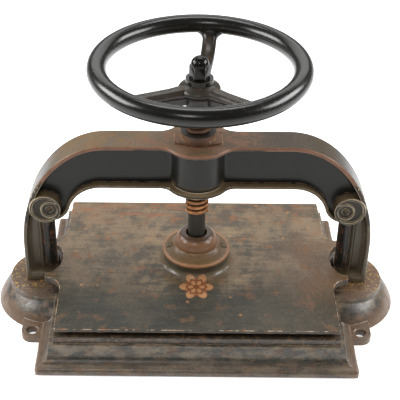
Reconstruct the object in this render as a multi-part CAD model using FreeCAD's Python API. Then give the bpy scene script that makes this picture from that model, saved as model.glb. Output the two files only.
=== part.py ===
import FreeCAD, Part
import math
import os

# Antique cast iron book press, millimetres.
# +X runs along the arch, -Y faces the user, +Z is up.
# The origin is on the table, straight below the screw's axis.
# The platen is shown a little above the bed.

V = FreeCAD.Vector
UP = V(0, 0, 1)
ALONG_X = V(1, 0, 0)
ALONG_Y = V(0, 1, 0)

# Base casting
border_half_x = 156.5
border_half_y = 125.0
border_top = 30.3
bed_rise = 7.9
bed_step_x = 5.0
bed_step_y = 3.5
bed_edge_round = 1.0
cove_radius = 10.5
cove_step = 0.8
bead_height = 9.4
bead_bulge = 3.5
foot_undercut = 1.5
base_corner_radius = 6.0
base_wall = 11.0
deck_thickness = 11.0
rib_thickness = 8.0
pocket_columns = 2
pocket_corner = 8.0

# Ear of the base under each leg
ear_centre_x = 157.5
ear_radius = 69.0
ear_height = 27.0
ear_bulge_radius = 59.5
ear_bulge_height = 15.5
ear_flat_radius = 45.0
plinth_centre_x = 165.5
plinth_radius = 46.0
plinth_rise = 2.0
plinth_slope = 3.6
plinth_flat_radius = 33.5
plinth_root = 12.0

# Screwing-down lugs
lug_centre_x = 180.0
lug_centre_y = 75.0
lug_radius = 12.0
lug_height = 8.0
lug_hole_radius = 5.5
lug_chamfer = 1.2

# Arch frame
arch_rise = 176.1
leg_outer_x = 191.3
shoulder_run = 94.0
shoulder_drop = 126.5
flange_half_y = 18.0
flange_thickness = 4.2
flange_edge_round = 2.2
web_half_y = 6.0
web_fillet = 5.0
beam_depth = 53.5
lower_flange_half_y = 14.5
lower_flange_thickness = 3.2
lower_edge_round = 1.0
haunch_x = 104.0
haunch_radius = 36.0
haunch_angle = 15.0
sweep_share_x = 0.26
sweep_share_z = 0.67
rib_centre_x = 164.5
rib_radius = 7.5
channel_bead_x = 173.2
channel_bead_radius = 2.2
foot_height = 11.5
foot_round = 6.0
scroll_centre_x = 164.5
scroll_drop = 78.7
scroll_radius = 16.9
scroll_rim = 2.6
scroll_coil_radius = 10.8
scroll_coil_width = 2.4
scroll_half_y = 20.0
scroll_relief = 3.0
scroll_eye_radius = 3.6
scroll_eye_shift = 4.5
scroll_eye_drop = 0.8
scroll_edge_gap = 0.5

# Screw boss in the middle of the arch
barrel_radius = 28.3
barrel_fillet = 6.5
top_wrap_radius = 37.0
top_wrap_fillet = 20.0
lower_wrap_radius = 35.5
lower_wrap_fillet = 14.0
wrap_reach = 1.8
mound_height = 10.5
mound_base_radius = 18.4
mound_top_radius = 17.0
mound_top_round = 1.2
pad_half_x = 25.3
pad_side_y = 10.5
pad_middle_y = 16.4
pad_rise = 2.5
pad_edge_round = 1.4

# Screw and its bush
screw_pitch = 6.35
screw_radius = 12.7
thread_depth = 3.0
crest_width = 2.9
root_width = 4.3
thread_clearance = 0.35
thread_sink = 0.6
shank_radius = 9.5
shank_length = 48.3
thread_length = 134.0
screw_shoulder = 3.5
square_half = 7.5
square_length = 24.1
tail_radius = 6.0
tail_length = 17.0
bush_wall = 3.2
bush_lip = 1.0
bush_lip_radius = 18.6
bush_lip_height = 1.2

# Handwheel
wheel_ring_radius = 104.2
wheel_bar_radius = 10.0
wheel_dish = 25.5
hub_height = 24.5
hub_foot_radius = 15.0
hub_foot_flare = 1.5
hub_shoulder_height = 14.05
hub_crown_height = 18.4
hub_disc_radius = 22.0
hub_top_radius = 14.5
spoke_count = 3
spoke_rise = 15.95
first_spoke_angle = 82.6
spoke_half_width = 7.8
spoke_half_height = 5.9
spoke_bend_run = 40.0
spoke_blend = 7.5
spoke_web_half = 2.4
spoke_web_lift = 1.0
spoke_web_turn = 38.0
spoke_web_depths = (9.6, 8.0, 4.0)
fit_clearance = 0.05
washer_radius = 14.5
washer_thickness = 5.2
nut_across_flats = 19.0
nut_height = 14.5
nut_dome_radius = 9.4
nut_dome_height = 9.0

# Platen
platen_half_x = 150.0
platen_half_y = 118.8
platen_edge = 3.8
platen_camber = 4.0
platen_gap = 5.2
platen_corner = 2.5
horn_reach = 18.5
horn_half_y = 36.0
horn_fillet = 18.0
horn_tip = 2.5
notch_depth = 17.3
notch_half_y = 28.0
boss_radius = 35.6
boss_height = 22.0
flare_radius = 9.5

# Thrust and lifting parts in the platen's boss
button_radius = 9.0
button_height = 6.0
button_floor = 7.1
tip_gap = 0.3
head_clearance = 0.35
head_height = 3.8
neck_radius = 6.5
neck_height = 5.1
ring_radius = 17.0
ring_height = 4.5
ring_split = 0.6

# Domed collar over the boss
collar_radius = 37.8
collar_flange = 3.5
collar_rise = 5.5
collar_rise_bow = 0.7
collar_seat = 3.3
collar_lip = 2.4
collar_lip_step = 0.7
dome_radius = 23.6
dome_height = 14.6
dome_top_radius = 17.0
dome_wall = 4.2
collar_hole_radius = 11.7
collar_screw_x = 30.9
collar_screw_radius = 2.0
collar_screw_length = 12.0
collar_screw_head_radius = 4.0
collar_screw_head_height = 1.8
collar_screw_slot = 1.0

# Studs that hold the arch down
stud_x = 178.0
stud_y = 10.0
stud_radius = 4.0
stud_engagement = 9.0
nut_flats = 13.0
stud_nut_height = 6.5
stud_washer_radius = 8.0
stud_washer_thickness = 1.6
stud_seat_drop = 15.0
nut_pocket_room = 3.5
nut_pocket_corner = 6.0

# Heights that follow from the sizes above
bed_top = border_top + bed_rise
plinth_edge = ear_height + plinth_rise
plinth_top = plinth_edge + plinth_slope
arch_top = plinth_top + arch_rise
beam_bottom = arch_top - beam_depth
shoulder_x = leg_outer_x - shoulder_run
shoulder_z = arch_top - shoulder_drop
scroll_z = arch_top - scroll_drop
mound_top = arch_top + mound_height
bed_half_x = border_half_x - bed_step_x
bed_half_y = border_half_y - bed_step_y
apron_spread = cove_step + cove_radius + bead_bulge
apron_half_x = border_half_x + apron_spread
apron_half_y = border_half_y + apron_spread
platen_bottom = bed_top + platen_gap
platen_edge_top = platen_bottom + platen_edge
boss_top = platen_bottom + boss_height
button_bottom = platen_bottom + button_floor
button_top = button_bottom + button_height
head_bottom = button_top + tip_gap
neck_bottom = head_bottom + head_height
neck_top = neck_bottom + neck_height
thread_bottom = neck_top + shank_length
thread_top = thread_bottom + thread_length
hub_bottom = thread_top + screw_shoulder
hub_top = hub_bottom + hub_height
square_top = hub_bottom + square_length
washer_top = hub_top + washer_thickness
spoke_z = hub_bottom + spoke_rise
wheel_z = spoke_z + wheel_dish
spoke_bend_x = wheel_ring_radius - spoke_bend_run
spoke_bend_radius = (spoke_bend_run ** 2 + wheel_dish ** 2) / (2 * wheel_dish)
thread_root_radius = screw_radius - thread_depth
thread_slope = 0.5 * (root_width - crest_width) / thread_depth
bush_radius = screw_radius + thread_clearance + bush_wall
collar_bottom = boss_top
collar_flange_top = collar_bottom + collar_flange
dome_bottom = collar_flange_top + collar_rise
dome_top = dome_bottom + dome_height
collar_seat_z = collar_bottom + collar_seat
platen_crown = platen_edge_top + platen_camber
seat_z = plinth_top - stud_seat_drop


def box(x0, x1, y0, y1, z0, z1):
    return Part.makeBox(x1 - x0, y1 - y0, z1 - z0, V(x0, y0, z0))


def post(radius, z0, z1, x=0.0, y=0.0):
    return Part.makeCylinder(radius, z1 - z0, V(x, y, z0), UP)


def cone(radius0, radius1, z0, z1, x=0.0, y=0.0):
    return Part.makeCone(radius0, radius1, z1 - z0, V(x, y, z0), UP)


def hexagon(across_flats, z0, z1, x=0.0, y=0.0):
    corner = across_flats / math.sqrt(3)
    points = [V(x + corner * math.cos(math.radians(60 * k)),
                y + corner * math.sin(math.radians(60 * k)), z0) for k in range(7)]
    return Part.Face(Part.makePolygon(points)).extrude(UP * (z1 - z0))


def line(a, b):
    return Part.LineSegment(a, b).toShape()


def arc(a, b, c):
    return Part.Arc(a, b, c).toShape()


def prism_y(edges, half_y):
    face = Part.Face(Part.Wire(edges))
    face.translate(V(0, -half_y, 0))
    return face.extrude(ALONG_Y * (2 * half_y))


def turned(edges):
    return Part.Face(Part.Wire(edges)).revolve(V(0, 0, 0), UP, 360)


def both_sides(shape):
    return [shape, shape.mirror(V(0, 0, 0), ALONG_X)]


def fuse(shapes):
    whole = shapes[0].fuse(list(shapes[1:])) if len(shapes) > 1 else shapes[0]
    return whole.removeSplitter()


def vertical_edges(shape, x, y, reach=0.6):
    found = []
    for edge in shape.Edges:
        ends = [vertex.Point for vertex in edge.Vertexes]
        if len(ends) == 2 and abs(ends[0].z - ends[1].z) > 1.0:
            middle = (ends[0] + ends[1]) * 0.5
            if abs(abs(middle.x) - x) < reach and abs(abs(middle.y) - y) < reach:
                found.append(edge)
    return found


def save(name, solids):
    shape = solids[0] if len(solids) == 1 else Part.makeCompound(solids)
    shape.exportStep("parts/" + name + ".step")
    box_mm = shape.BoundBox
    print("%-20s solids %d valid %s x %.1f %.1f y %.1f %.1f z %.1f %.1f" % (
        name, len(shape.Solids), shape.isValid(),
        box_mm.XMin, box_mm.XMax, box_mm.YMin, box_mm.YMax, box_mm.ZMin, box_mm.ZMax))


# Base

def apron_profile(half, point):
    """Closed outline across the base, with its cove and bead mirrored about the middle."""
    bead_out = half + apron_spread
    crease = half + cove_step + cove_radius
    cove_z = bead_height + cove_radius
    turn = cove_radius * (1 - math.sqrt(0.5))

    def side(s):
        return [
            line(point(s * half, border_top), point(s * (half + cove_step), cove_z)),
            arc(point(s * (half + cove_step), cove_z),
                point(s * (half + cove_step + turn), bead_height + turn),
                point(s * crease, bead_height)),
            arc(point(s * crease, bead_height),
                point(s * bead_out, bead_height * 0.45),
                point(s * (bead_out - foot_undercut), 0)),
        ]
    top = [line(point(-half, border_top), point(half, border_top))]
    bottom = [line(point(-(bead_out - foot_undercut), 0), point(bead_out - foot_undercut, 0))]
    return top + side(1) + bottom + side(-1)


def moulded_block():
    across_x = Part.Face(Part.Wire(Part.sortEdges(
        apron_profile(border_half_x, lambda u, z: V(u, -2 * apron_half_y, z)))[0]))
    across_y = Part.Face(Part.Wire(Part.sortEdges(
        apron_profile(border_half_y, lambda u, z: V(-2 * apron_half_x, u, z)))[0]))
    block = across_x.extrude(ALONG_Y * (4 * apron_half_y))
    block = block.common(across_y.extrude(ALONG_X * (4 * apron_half_x)))
    rounded = box(-apron_half_x, apron_half_x, -apron_half_y, apron_half_y, 0, border_top)
    corners = vertical_edges(rounded, apron_half_x, apron_half_y)
    return block.common(rounded.makeFillet(base_corner_radius, corners))


def base_ear():
    ear = turned([
        arc(V(ear_radius, 0, 0), V(ear_bulge_radius, 0, ear_bulge_height),
            V(ear_flat_radius, 0, ear_height)),
        line(V(ear_flat_radius, 0, ear_height), V(0, 0, ear_height)),
        line(V(0, 0, ear_height), V(0, 0, 0)),
        line(V(0, 0, 0), V(ear_radius, 0, 0))])
    ear.translate(V(ear_centre_x, 0, 0))
    plinth = post(plinth_radius, plinth_root, plinth_edge, plinth_centre_x)
    crown = cone(plinth_radius, plinth_flat_radius, plinth_edge, plinth_top, plinth_centre_x)
    return [ear, plinth, crown]


def lugs():
    parts = []
    for y in (-lug_centre_y, lug_centre_y):
        toward = -math.copysign(1, y)
        parts.append(post(lug_radius, 0, lug_height, lug_centre_x, y))
        parts.append(box(border_half_x, lug_centre_x, y - lug_radius, y + lug_radius, 0, lug_height))
        inner = y + toward * 1.6 * lug_radius
        parts.append(box(border_half_x, lug_centre_x + lug_radius,
                         min(y, inner), max(y, inner), 0, lug_height))
    return parts


def lug_holes():
    cuts = []
    for x in (-lug_centre_x, lug_centre_x):
        for y in (-lug_centre_y, lug_centre_y):
            cuts.append(post(lug_hole_radius, -1, lug_height + 30, x, y))
            cuts.append(cone(lug_hole_radius, lug_hole_radius + lug_chamfer,
                             lug_height - lug_chamfer, lug_height, x, y))
            cuts.append(post(lug_hole_radius + lug_chamfer, lug_height, lug_height + 30, x, y))
    return cuts


def underside_pockets():
    """Hollows under the bed, with cast ribs left between them."""
    half_x = border_half_x - base_wall
    half_y = border_half_y - base_wall
    pitch = (2 * half_x + rib_thickness) / pocket_columns
    cuts = []
    for column in range(pocket_columns):
        x0 = -half_x + column * pitch
        cuts.append(rounded_pocket(x0, x0 + pitch - rib_thickness, half_y,
                                   bed_top - deck_thickness, pocket_corner))
    return cuts


def rounded_pocket(x0, x1, half_y, roof, corner):
    pocket = box(x0, x1, -half_y, half_y, -1, roof)
    upright = [edge for edge in pocket.Edges
               if abs(edge.Vertexes[0].Point.z - edge.Vertexes[1].Point.z) > 1]
    return pocket.makeFillet(corner, upright)


def nut_pocket():
    """Recess under one leg, with a flat roof where the two stud nuts seat."""
    margin = stud_washer_radius + nut_pocket_room
    return rounded_pocket(stud_x - margin, stud_x + margin, stud_y + margin, seat_z,
                          nut_pocket_corner)


def make_base():
    solid = fuse([moulded_block()] + [piece for part in base_ear() + lugs()
                                      for piece in both_sides(part)])
    bed = box(-bed_half_x, bed_half_x, -bed_half_y, bed_half_y, bed_top - 1.5 * bed_rise, bed_top)
    bed = bed.makeFillet(bed_edge_round, [edge for edge in bed.Edges
                                          if edge.BoundBox.ZMax - edge.BoundBox.ZMin < 0.01
                                          and edge.BoundBox.ZMin > border_top])
    solid = solid.fuse(bed).removeSplitter()
    cuts = underside_pockets() + lug_holes() + both_sides(nut_pocket())
    for x in (-stud_x, stud_x):
        for y in (-stud_y, stud_y):
            cuts.append(post(stud_radius + 2 * fit_clearance, -1, plinth_top + 1, x, y))
    return solid.cut(cuts).removeSplitter()


# Arch frame

def arch_outline(inset):
    """Outer face of the arch, moved inwards by the inset, closed under the feet."""
    leg = leg_outer_x - inset
    top = arch_top - inset
    run = shoulder_run - inset
    drop = shoulder_drop - inset
    curve = Part.Ellipse(V(0, 0, 0), drop, run)
    quarter = Part.ArcOfEllipse(curve, 0, math.pi / 2).toShape()
    quarter.rotate(V(0, 0, 0), ALONG_X, 90)
    quarter.rotate(V(0, 0, 0), ALONG_Y, -90)
    left = quarter.copy()
    left.translate(V(-shoulder_x, 0, shoulder_z))
    right = left.mirror(V(0, 0, 0), ALONG_X)
    return Part.sortEdges([
        line(V(-leg, 0, plinth_top), V(-leg, 0, shoulder_z)), left,
        line(V(-shoulder_x, 0, top), V(shoulder_x, 0, top)), right,
        line(V(leg, 0, shoulder_z), V(leg, 0, plinth_top)),
        line(V(leg, 0, plinth_top), V(-leg, 0, plinth_top))])[0]


def opening_side(grow):
    """One half of the opening's upper edge, from the middle to the foot of the scroll."""
    radius = haunch_radius + grow
    centre_z = beam_bottom - haunch_radius
    turn = math.radians(haunch_angle)
    mid = math.radians(0.5 * (90 + haunch_angle))
    start = V(haunch_x, 0, centre_z + radius)
    knee = V(haunch_x + radius * math.cos(turn), 0, centre_z + radius * math.sin(turn))
    end = V(scroll_centre_x, 0, scroll_z - scroll_radius - scroll_edge_gap + grow)
    bend = V(knee.x + sweep_share_x * (end.x - knee.x), 0,
             knee.z + sweep_share_z * (end.z - knee.z))
    crest = V(haunch_x + radius * math.cos(mid), 0, centre_z + radius * math.sin(mid))
    return [line(V(0, 0, start.z), start), arc(start, crest, knee), arc(knee, bend, end)]


def opening_outline(grow):
    side = opening_side(grow)
    end_z = scroll_z - scroll_radius - scroll_edge_gap + grow
    side.append(line(V(scroll_centre_x, 0, end_z), V(scroll_centre_x, 0, plinth_top)))
    mirrored = [edge.mirror(V(0, 0, 0), ALONG_X) for edge in side]
    foot = [line(V(-scroll_centre_x, 0, plinth_top), V(scroll_centre_x, 0, plinth_top))]
    return Part.sortEdges(side + mirrored + foot)[0]


def outer_flange():
    band = prism_y(arch_outline(0), flange_half_y)
    band = band.cut(prism_y(arch_outline(flange_thickness), flange_half_y + 1))
    return band.cut(box(-leg_outer_x, leg_outer_x, -flange_half_y, flange_half_y,
                        plinth_top - 1, plinth_top + 0.001)).removeSplitter()


def web_plate():
    plate = prism_y(arch_outline(0.5 * flange_thickness), web_half_y)
    return plate.cut(prism_y(opening_outline(0), web_half_y + 1))


def lower_flange():
    band = prism_y(opening_outline(lower_flange_thickness), lower_flange_half_y)
    band = band.cut(prism_y(opening_outline(0), lower_flange_half_y + 1))
    keep = box(0, scroll_centre_x, -lower_flange_half_y, lower_flange_half_y,
               scroll_z - scroll_radius - 1, arch_top)
    return band.common(keep)


def scroll():
    """Rolled end of the lower flange: a disc with a raised rim, an inner coil and an eye."""
    floor_y = scroll_half_y - scroll_relief
    eye_x = scroll_centre_x - scroll_eye_shift
    eye_z = scroll_z - scroll_eye_drop

    def drum(radius, y, x=scroll_centre_x, z=scroll_z):
        return Part.makeCylinder(radius, 2 * y, V(x, -y, z), ALONG_Y)

    rim = drum(scroll_radius, scroll_half_y).cut(drum(scroll_radius - scroll_rim, scroll_half_y + 1))
    coil_x = scroll_centre_x - scroll_radius + scroll_rim + scroll_coil_radius - scroll_coil_width
    coil = drum(scroll_coil_radius, scroll_half_y, coil_x, eye_z)
    coil = coil.cut(drum(scroll_coil_radius - scroll_coil_width, scroll_half_y + 1,
                         coil_x + scroll_coil_width / 2, eye_z))
    eyes = [Part.makeSphere(scroll_eye_radius, V(eye_x, y, eye_z)) for y in (-floor_y, floor_y)]
    return fuse([drum(scroll_radius, floor_y), rim, coil] + eyes)


def leg_details():
    top = scroll_z
    rib = post(rib_radius, plinth_top, top, rib_centre_x)
    bead_front = post(channel_bead_radius, plinth_top, top, channel_bead_x, -web_half_y)
    bead_back = post(channel_bead_radius, plinth_top, top, channel_bead_x, web_half_y)
    foot = box(rib_centre_x - rib_radius, leg_outer_x - 0.5 * flange_thickness,
               -flange_half_y, flange_half_y, plinth_top, plinth_top + foot_height)
    rims = [edge for edge in foot.Edges if edge.BoundBox.XLength > 1
            and edge.BoundBox.ZMin > plinth_top + 1]
    return [rib, bead_front, bead_back, foot.makeFillet(foot_round, rims)]


def wrap(radius, half_y, fillet, z0, z1, edge_z, edge_round):
    """A flange's bulge round the boss, blended into its straight edges and eased at one height."""
    reach = wrap_reach * radius
    plate = fuse([box(-reach, reach, -half_y, half_y, z0, z1), post(radius, z0, z1)])
    meet_x = math.sqrt(radius ** 2 - half_y ** 2)
    plate = plate.makeFillet(fillet, vertical_edges(plate, meet_x, half_y))
    rims = [edge for edge in plate.Edges
            if abs(edge.BoundBox.ZMin - edge_z) < 0.01 and abs(edge.BoundBox.ZMax - edge_z) < 0.01
            and edge.BoundBox.XLength > 1]
    return plate.makeFillet(edge_round, rims)


def screw_boss():
    barrel = fuse([box(-2 * barrel_radius, 2 * barrel_radius, -web_half_y, web_half_y,
                       beam_bottom, arch_top), post(barrel_radius, beam_bottom, arch_top)])
    meet_x = math.sqrt(barrel_radius ** 2 - web_half_y ** 2)
    barrel = barrel.makeFillet(barrel_fillet, vertical_edges(barrel, meet_x, web_half_y))
    top = wrap(top_wrap_radius, flange_half_y, top_wrap_fillet,
               arch_top - flange_thickness, arch_top, arch_top, flange_edge_round)
    lower_top = beam_bottom + lower_flange_thickness
    bottom = wrap(lower_wrap_radius, lower_flange_half_y, lower_wrap_fillet,
                  beam_bottom, lower_top, lower_top, lower_edge_round)
    mound = cone(mound_base_radius, mound_top_radius, arch_top - 1, mound_top)
    crest = [edge for edge in mound.Edges if edge.BoundBox.ZMin > mound_top - 0.1]
    return [barrel, top, bottom, boss_pad(), mound.makeFillet(mound_top_round, crest)]


def boss_pad():
    """Low raised pad on the arch, straight at its ends and bowed at the front and back."""
    corner = [V(x, y, 0) for x, y in ((-pad_half_x, -pad_side_y), (pad_half_x, -pad_side_y),
                                      (pad_half_x, pad_side_y), (-pad_half_x, pad_side_y))]
    outline = Part.Wire([
        arc(corner[0], V(0, -pad_middle_y, 0), corner[1]), line(corner[1], corner[2]),
        arc(corner[2], V(0, pad_middle_y, 0), corner[3]), line(corner[3], corner[0])])
    pad = Part.Face(outline).extrude(UP * (pad_rise + 1))
    pad.translate(UP * (arch_top - 1))
    rims = [edge for edge in pad.Edges if edge.BoundBox.ZMin > arch_top + pad_rise - 0.1]
    return pad.makeFillet(pad_edge_round, rims)


def edges_on(shape, outline, y):
    """Edges of a shape that run along an outline moved to the plane at y, feet left out."""
    track = Part.Wire(outline)
    track.translate(V(0, y, 0))
    found = []
    for edge in shape.Edges:
        places = [edge.valueAt(edge.FirstParameter + share * (edge.LastParameter - edge.FirstParameter))
                  for share in (0.1, 0.5, 0.9)]
        gaps = [track.distToShape(Part.Vertex(place))[0] for place in places]
        if max(gaps) < 0.01 and places[1].z > plinth_top + 0.1:
            found.append(edge)
    return found


def beam_and_legs():
    """Web with its two flanges, blended into the outer one, whose edges are eased."""
    solid = fuse([outer_flange(), web_plate()] + both_sides(lower_flange()))
    seams = [edge for y in (-web_half_y, web_half_y)
             for edge in edges_on(solid, arch_outline(flange_thickness), y)]
    solid = solid.makeFillet(web_fillet, seams)
    rims = [edge for y in (-flange_half_y, flange_half_y)
            for edge in edges_on(solid, arch_outline(0), y)]
    return solid.makeFillet(flange_edge_round, rims)


def make_arch_frame():
    pieces = [beam_and_legs()]
    for part in [scroll()] + leg_details():
        pieces.extend(both_sides(part))
    solid = fuse(pieces + screw_boss())
    cuts = [post(bush_radius, beam_bottom - 1, mound_top + 1)]
    for x in (-stud_x, stud_x):
        for y in (-stud_y, stud_y):
            cuts.append(post(stud_radius + fit_clearance, plinth_top - 1,
                             plinth_top + stud_engagement + 0.5, x, y))
    return solid.cut(cuts).removeSplitter()


# Screw, bush and wheel

def thread_ridge(inner, outer, inner_width, outer_width, z0, turns):
    """Right-hand ridge of trapezoid section, joined from single turns; starts at z0 on the +X side."""
    section = Part.makePolygon([
        V(inner, 0, -0.5 * inner_width), V(outer, 0, -0.5 * outer_width),
        V(outer, 0, 0.5 * outer_width), V(inner, 0, 0.5 * inner_width),
        V(inner, 0, -0.5 * inner_width)])
    helix = Part.makeHelix(screw_pitch, screw_pitch, inner)
    single = Part.Wire(helix).makePipeShell([section], True, True)
    coils = []
    for k in range(turns):
        coil = single.copy()
        coil.translate(V(0, 0, z0 + k * screw_pitch))
        coils.append(coil)
    return coils[0].fuse(coils[1:])


def make_screw():
    bodies = [
        post(shank_radius, head_bottom, neck_bottom),
        post(neck_radius, neck_bottom - 0.5, neck_top + 0.5),
        post(shank_radius, neck_top, thread_bottom + 1),
        post(thread_root_radius, thread_bottom, thread_top + 1),
        post(screw_radius - 0.5, thread_top, hub_bottom),
        box(-square_half, square_half, -square_half, square_half, hub_bottom - 0.5, square_top),
        post(tail_radius, square_top - 0.5, hub_top + tail_length),
    ]
    ridge = thread_ridge(thread_root_radius - thread_sink, screw_radius,
                         root_width + 2 * thread_sink * thread_slope, crest_width,
                         thread_bottom + 0.5 * screw_pitch,
                         round(thread_length / screw_pitch) - 1)
    return fuse(bodies).fuse(ridge)


def make_screw_bush():
    top = mound_top + bush_lip_height
    bore = thread_root_radius + thread_clearance
    blank = fuse([post(bush_radius, beam_bottom, top), post(bush_lip_radius, mound_top, top)])
    blank = blank.cut(post(bore, beam_bottom - 1, top + 1))
    first = thread_bottom + 0.5 * screw_pitch
    start = first + screw_pitch * math.floor((beam_bottom - first) / screw_pitch - 1)
    groove = thread_ridge(bore - thread_sink, screw_radius + thread_clearance,
                          root_width + 2 * thread_clearance + 2 * thread_sink * thread_slope,
                          crest_width + 2 * thread_clearance, start,
                          math.ceil((top - start) / screw_pitch) + 2)
    return blank.cut(groove)


def on_bend(turn, depth):
    """Place on the upward bend of a spoke, so many degrees along it and so deep below its middle."""
    reach = spoke_bend_radius + depth
    angle = math.radians(turn)
    return V(spoke_bend_x + reach * math.sin(angle), 0,
             spoke_z + spoke_bend_radius - reach * math.cos(angle))


def spoke_web(angle):
    """Upright web under a spoke, deepest at the hub and running out before the rim."""
    near, halfway, far = spoke_web_depths
    half = 0.5 * spoke_web_turn
    foot = V(0.5 * hub_disc_radius, 0, hub_bottom + spoke_web_lift)
    head = V(foot.x, 0, spoke_z)
    face = Part.Face(Part.Wire([
        line(foot, on_bend(0, near)),
        arc(on_bend(0, near), on_bend(half, halfway), on_bend(spoke_web_turn, far)),
        line(on_bend(spoke_web_turn, far), on_bend(spoke_web_turn, 0)),
        arc(on_bend(spoke_web_turn, 0), on_bend(half, 0), on_bend(0, 0)),
        line(on_bend(0, 0), head), line(head, foot)]))
    face.translate(V(0, -spoke_web_half, 0))
    web = face.extrude(ALONG_Y * (2 * spoke_web_half))
    web.rotate(V(0, 0, 0), UP, angle)
    return web


def spoke(angle):
    inner = V(0.5 * hub_disc_radius, 0, spoke_z)
    end = V(wheel_ring_radius, 0, wheel_z)
    middle = on_bend(math.degrees(math.atan2(wheel_dish, spoke_bend_run)), 0)
    path = Part.Wire([line(inner, on_bend(0, 0)), arc(on_bend(0, 0), middle, end)])
    section = Part.Ellipse(V(0, 0, 0), spoke_half_width, spoke_half_height).toShape()
    section.rotate(V(0, 0, 0), V(0, 0, 1), 90)
    section.rotate(V(0, 0, 0), ALONG_Y, 90)
    section.translate(inner)
    arm = path.makePipeShell([Part.Wire(section)], True, False)
    arm.rotate(V(0, 0, 0), UP, angle)
    return arm


def touches_ring(edge):
    """True for the seam between a spoke and the rim's round bar."""
    for vertex in edge.Vertexes:
        point = vertex.Point
        run = math.hypot(point.x, point.y) - wheel_ring_radius
        reach = math.hypot(run, point.z - wheel_z)
        if abs(reach - wheel_bar_radius) > 0.05 or run > 0.9 * wheel_bar_radius:
            return False
    return edge.Length < 6 * spoke_half_width


def make_handwheel():
    ring = Part.makeTorus(wheel_ring_radius, wheel_bar_radius, V(0, 0, wheel_z), UP)
    shoulder = hub_bottom + hub_shoulder_height
    crown = hub_bottom + hub_crown_height
    neck = V(hub_foot_radius + hub_foot_flare, 0, shoulder - 2)
    hub = turned([
        line(V(0, 0, hub_bottom), V(hub_foot_radius, 0, hub_bottom)),
        line(V(hub_foot_radius, 0, hub_bottom), neck),
        arc(neck, V(hub_disc_radius - 1, 0, shoulder + 0.8), V(hub_disc_radius, 0, crown - 2)),
        arc(V(hub_disc_radius, 0, crown - 2), V(hub_disc_radius - 1.8, 0, crown + 2.2),
            V(hub_top_radius + 0.5, 0, hub_top)),
        line(V(hub_top_radius + 0.5, 0, hub_top), V(0, 0, hub_top)),
        line(V(0, 0, hub_top), V(0, 0, hub_bottom))])
    angles = [first_spoke_angle + 360.0 * k / spoke_count for k in range(spoke_count)]
    rim = fuse([ring] + [spoke(angle) for angle in angles])
    joints = [edge for edge in rim.Edges if touches_ring(edge)]
    rim = rim.makeFillet(spoke_blend, joints)
    wheel = fuse([rim, hub] + [spoke_web(angle) for angle in angles])
    half = square_half + fit_clearance
    return wheel.cut(box(-half, half, -half, half, hub_bottom - 1, hub_top + 1))


def make_wheel_washer():
    disc = post(washer_radius, hub_top, washer_top)
    return disc.cut(post(tail_radius + 0.3, hub_top - 1, washer_top + 1))


def make_cap_nut():
    hex_top = washer_top + nut_height
    body = hexagon(nut_across_flats, washer_top, hex_top)
    corner = nut_across_flats / math.sqrt(3)
    body = body.common(cone(corner + nut_height, nut_across_flats / 2 - 0.6, washer_top,
                            hex_top + 0.6))
    cap = turned([
        line(V(0, 0, hex_top - 1), V(nut_dome_radius, 0, hex_top - 1)),
        line(V(nut_dome_radius, 0, hex_top - 1), V(nut_dome_radius, 0, hex_top)),
        arc(V(nut_dome_radius, 0, hex_top),
            V(0.72 * nut_dome_radius, 0, hex_top + 0.7 * nut_dome_height),
            V(0, 0, hex_top + nut_dome_height)),
        line(V(0, 0, hex_top + nut_dome_height), V(0, 0, hex_top - 1))])
    bore = post(tail_radius + fit_clearance, washer_top - 1, hub_top + tail_length + 1)
    return fuse([body, cap]).cut(bore)


# Platen and what hangs in it

def platen_outline_solid(z0, z1):
    plate = box(-platen_half_x, platen_half_x, -platen_half_y, platen_half_y, z0, z1)
    plate = plate.makeFillet(platen_corner, vertical_edges(plate, platen_half_x, platen_half_y))
    reach = platen_half_x + horn_reach
    plate = fuse([plate, box(-reach, reach, -horn_half_y, horn_half_y, z0, z1)])
    plate = plate.makeFillet(horn_fillet, vertical_edges(plate, platen_half_x, horn_half_y))
    for side in (-1, 1):
        notch = Part.Ellipse(V(side * reach, 0, 0), notch_half_y, notch_depth).toShape()
        notch.rotate(V(side * reach, 0, 0), UP, 90)
        notch.translate(V(0, 0, z0 - 1))
        plate = plate.cut(Part.Face(Part.Wire(notch)).extrude(UP * (z1 - z0 + 2)))
    outer = vertical_edges(plate, reach, horn_half_y)
    return plate.makeFillet(horn_tip, outer)


def cambered(shape):
    """Trims the plate to its arched top, which is highest along the X axis."""
    edge = platen_half_y + 1
    end = -leg_outer_x
    section = Part.Face(Part.Wire([
        line(V(end, -edge, platen_bottom), V(end, edge, platen_bottom)),
        line(V(end, edge, platen_bottom), V(end, edge, platen_edge_top)),
        arc(V(end, edge, platen_edge_top), V(end, 0, platen_crown), V(end, -edge, platen_edge_top)),
        line(V(end, -edge, platen_edge_top), V(end, -edge, platen_bottom))]))
    return shape.common(section.extrude(ALONG_X * (2 * leg_outer_x)))


def make_platen():
    plate = cambered(platen_outline_solid(platen_bottom, platen_crown + 1))
    solid = fuse([plate, post(boss_radius, platen_bottom + 1, boss_top)])
    root = [edge for edge in solid.Edges
            if platen_edge_top < edge.BoundBox.ZMin and edge.BoundBox.ZMax < platen_crown + 0.1
            and abs(edge.BoundBox.XLength - 2 * boss_radius) < 0.1]
    solid = solid.makeFillet(flare_radius, root)
    cuts = [post(button_radius + fit_clearance, button_bottom, button_top),
            post(shank_radius + head_clearance, button_top, boss_top + 1),
            post(ring_radius + fit_clearance, boss_top - ring_height, boss_top + 1)]
    for x in (-collar_screw_x, collar_screw_x):
        cuts.append(post(collar_screw_radius + fit_clearance,
                         boss_top - collar_screw_length, boss_top + 1, x))
    return solid.cut(cuts).removeSplitter()


def make_thrust_button():
    return post(button_radius, button_bottom, button_top)


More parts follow.
